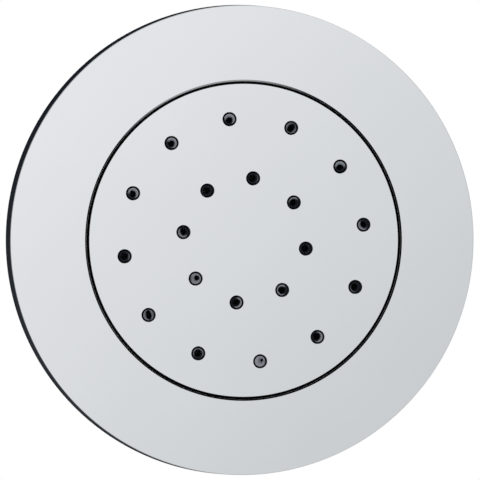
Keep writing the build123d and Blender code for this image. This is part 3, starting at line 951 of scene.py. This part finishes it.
class Finish:
    """Principled material whose textures are read in the piece's own coordinates, in millimetres."""

    def __init__(self, name, **sockets):
        self.material = bpy.data.materials.new(name)
        self.material.use_nodes = True
        self.nodes = self.material.node_tree.nodes
        self.links = self.material.node_tree.links
        self.shader = self.nodes["Principled BSDF"]
        for socket, value in sockets.items():
            self.shader.inputs[socket.replace("_", " ").title()].default_value = value
        place = self.nodes.new("ShaderNodeTexCoord")
        scale = self.nodes.new("ShaderNodeVectorMath")
        scale.operation = "SCALE"
        scale.inputs["Scale"].default_value = 1 / MM
        self.links.new(place.outputs["Object"], scale.inputs[0])
        self.place = scale.outputs["Vector"]

    def noise(self, size, detail=3.0, along=None):
        """Noise with features of that size. Along is a socket that it follows instead of space."""
        node = self.nodes.new("ShaderNodeTexNoise")
        node.inputs["Scale"].default_value = 1 / size
        node.inputs["Detail"].default_value = detail
        if along is None:
            self.links.new(self.place, node.inputs["Vector"])
        else:
            node.noise_dimensions = "1D"
            self.links.new(along, node.inputs["W"])
        return node.outputs["Fac"]

    def cells(self, size):
        """Round cells of that size, as in foam."""
        node = self.nodes.new("ShaderNodeTexVoronoi")
        node.inputs["Scale"].default_value = 1 / size
        self.links.new(self.place, node.inputs["Vector"])
        return node.outputs["Distance"]

    def lathe_path(self):
        """Socket that grows outwards on faces and along cylinders, as a lathe tool travels."""
        parts = self.nodes.new("ShaderNodeSeparateXYZ")
        flat = self.nodes.new("ShaderNodeCombineXYZ")
        length = self.nodes.new("ShaderNodeVectorMath")
        length.operation = "LENGTH"
        total = self.nodes.new("ShaderNodeMath")
        self.links.new(self.place, parts.inputs[0])
        self.links.new(parts.outputs["X"], flat.inputs["X"])
        self.links.new(parts.outputs["Z"], flat.inputs["Z"])
        self.links.new(flat.outputs[0], length.inputs[0])
        self.links.new(length.outputs["Value"], total.inputs[0])
        self.links.new(parts.outputs["Y"], total.inputs[1])
        return total.outputs[0]

    def roughness(self, value, low, high):
        """Feeds the roughness from a texture, between two values."""
        node = self.nodes.new("ShaderNodeMapRange")
        node.inputs["From Min"].default_value = NOISE_RANGE[0]
        node.inputs["From Max"].default_value = NOISE_RANGE[1]
        node.inputs["To Min"].default_value = low
        node.inputs["To Max"].default_value = high
        self.links.new(value, node.inputs["Value"])
        self.links.new(node.outputs["Result"], self.shader.inputs["Roughness"])

    def colours(self, value, low, high, between=NOISE_RANGE):
        """Feeds the base colour from a texture, between two colours."""
        node = self.nodes.new("ShaderNodeValToRGB")
        for stop, position, colour in zip(node.color_ramp.elements, between, (low, high)):
            stop.position = position
            stop.color = (*colour, 1)
        self.links.new(value, node.inputs["Fac"])
        self.links.new(node.outputs["Color"], self.shader.inputs["Base Color"])

    def bump(self, height, depth):
        """Surface relief of that depth in millimetres."""
        node = self.nodes.new("ShaderNodeBump")
        node.inputs["Distance"].default_value = depth * MM
        self.links.new(height, node.inputs["Height"])
        self.links.new(node.outputs["Normal"], self.shader.inputs["Normal"])


def tinted(colour, share):
    """The colour, darker or lighter."""
    return tuple(channel * share for channel in colour)


def polished(name, colour):
    """Mirror plate with a faint haze left by polishing."""
    finish = Finish(name, metallic=1.0)
    finish.colours(finish.noise(size=25.0), tinted(colour, 0.992), tinted(colour, 1.008))
    finish.roughness(finish.noise(size=1.5, detail=4.0), low=0.024, high=0.034)
    return finish.material


def unpolished_and_painted_shade(name, colour):
    """Dark bare metal with a fine cast grain, where no polishing wheel reaches; its near-black colour is
    painted shade of the plate's hollow inside.
    """
    finish = Finish(name)
    finish.shader.inputs["Specular IOR Level"].default_value = 0.05
    finish.colours(finish.noise(size=4.0), tinted(colour, 0.8), tinted(colour, 1.2))
    finish.roughness(finish.noise(size=1.0), low=0.6, high=0.8)
    finish.bump(finish.noise(size=0.2), depth=0.01)
    return finish.material


def turned_metal(slot, rough, stain):
    """Turned metal with fine tool lines and uneven tarnish."""
    colour = COLOUR_OF[slot]
    finish = Finish(slot, metallic=1.0)
    lines = finish.noise(size=0.12, detail=2.0, along=finish.lathe_path())
    finish.colours(finish.noise(size=6.0, detail=5.0), tinted(colour, stain), colour)
    finish.roughness(lines, *rough)
    finish.bump(lines, depth=0.006)
    return finish.material


def moulded(slot, rough, grain, depth, mottle=0.05):
    """Moulded plastic or rubber with a fine grain and slight flow marks."""
    colour = COLOUR_OF[slot]
    finish = Finish(slot)
    flow = finish.noise(size=14.0, detail=4.0)
    finish.colours(flow, tinted(colour, 1 - mottle), tinted(colour, 1 + mottle))
    finish.roughness(finish.noise(size=3.0), *rough)
    finish.bump(finish.noise(size=grain, detail=2.0), depth)
    return finish.material


def foam(slot):
    """Closed-cell foam rubber."""
    colour = COLOUR_OF[slot]
    finish = Finish(slot)
    cells = finish.cells(size=0.45)
    finish.colours(cells, tinted(colour, 0.7), tinted(colour, 1.5), between=(0.1, 0.6))
    finish.roughness(finish.noise(size=2.0), low=0.75, high=0.95)
    finish.bump(cells, depth=0.08)
    return finish.material


def nozzle_rubber(name, dark, light):
    """Glossy rubber, light grey at the tips, with painted shade dark on the walls, in the throats and on
    one side of each tip, where the mesh says so.
    """
    finish = Finish(name)
    finish.shader.inputs["Specular IOR Level"].default_value = 0.2
    # the tip attribute holds the painted light and shade of the rubber
    tip = finish.nodes.new("ShaderNodeAttribute")
    tip.attribute_name = "tip"
    mottle = finish.nodes.new("ShaderNodeMath")
    mottle.operation = "MULTIPLY_ADD"
    mottle.inputs[1].default_value = 0.35
    mottle.inputs[2].default_value = 0.8
    finish.links.new(finish.noise(size=0.35), mottle.inputs[0])
    tone = finish.nodes.new("ShaderNodeMath")
    tone.operation = "MULTIPLY"
    finish.links.new(tip.outputs["Fac"], tone.inputs[0])
    finish.links.new(mottle.outputs[0], tone.inputs[1])
    finish.colours(tone.outputs[0], dark, light, between=(0, 1))
    finish.roughness(finish.noise(size=0.6), low=0.22, high=0.36)
    finish.bump(finish.noise(size=0.25), depth=0.01)
    return finish.material


def make_finishes():
    """Finish of each slot in the record, and of the cover plate's inside."""
    return {
        "chrome": polished("chrome", CHROME),
        "bare_plate_and_painted_shade": unpolished_and_painted_shade("bare_plate_and_painted_shade", BARE_METAL_AND_PAINTED_SHADE),
        "nozzle_rubber": nozzle_rubber("nozzle_rubber", NOZZLE_PAINTED_SHADE, NOZZLE_LIGHT),
        "seal_rubber": moulded("seal_rubber", rough=(0.35, 0.5), grain=0.3, depth=0.006, mottle=0.3),
        "gasket_rubber": foam("gasket_rubber"),
        "housing_plastic": moulded("housing_plastic", rough=(0.28, 0.4), grain=0.4, depth=0.02),
        "head_plastic": moulded("head_plastic", rough=(0.35, 0.5), grain=0.3, depth=0.015),
        "seat_plastic": moulded("seat_plastic", rough=(0.25, 0.35), grain=0.5, depth=0.004, mottle=0.02),
        "insert_plastic": moulded("insert_plastic", rough=(0.25, 0.4), grain=0.4, depth=0.006, mottle=0.08),
        "steel": turned_metal("steel", rough=(0.22, 0.4), stain=0.9),
        "brass": turned_metal("brass", rough=(0.16, 0.34), stain=0.82),
    }


def finish_nodes():
    """Gives every carried-over node the finish of its slot."""
    for node, slot in SLOT_OF.items():
        data = frame["nodes"][node].data
        data.materials.clear()
        data.materials.append(FINISHES[slot])


SLOT_OF = {row["node"]: row["material_slot"] for row in frame["record"]["subparts"]}
COLOUR_OF = {row["slot"]: row["base_color"] for row in frame["record"]["materials"]}
FINISHES = make_finishes()

add_camera()
add_world()
add_softboxes()
add_front_card()
add_ring_card()
add_flag_card()
add_floor()
finish_nodes()
make_cover_plate()
make_spray_face()
make_nozzle_mat()
make_wall_housing()
make_wall_gasket()
make_back_washer()
make_inlet_stem()

bpy.context.scene.view_settings.view_transform = "Standard"
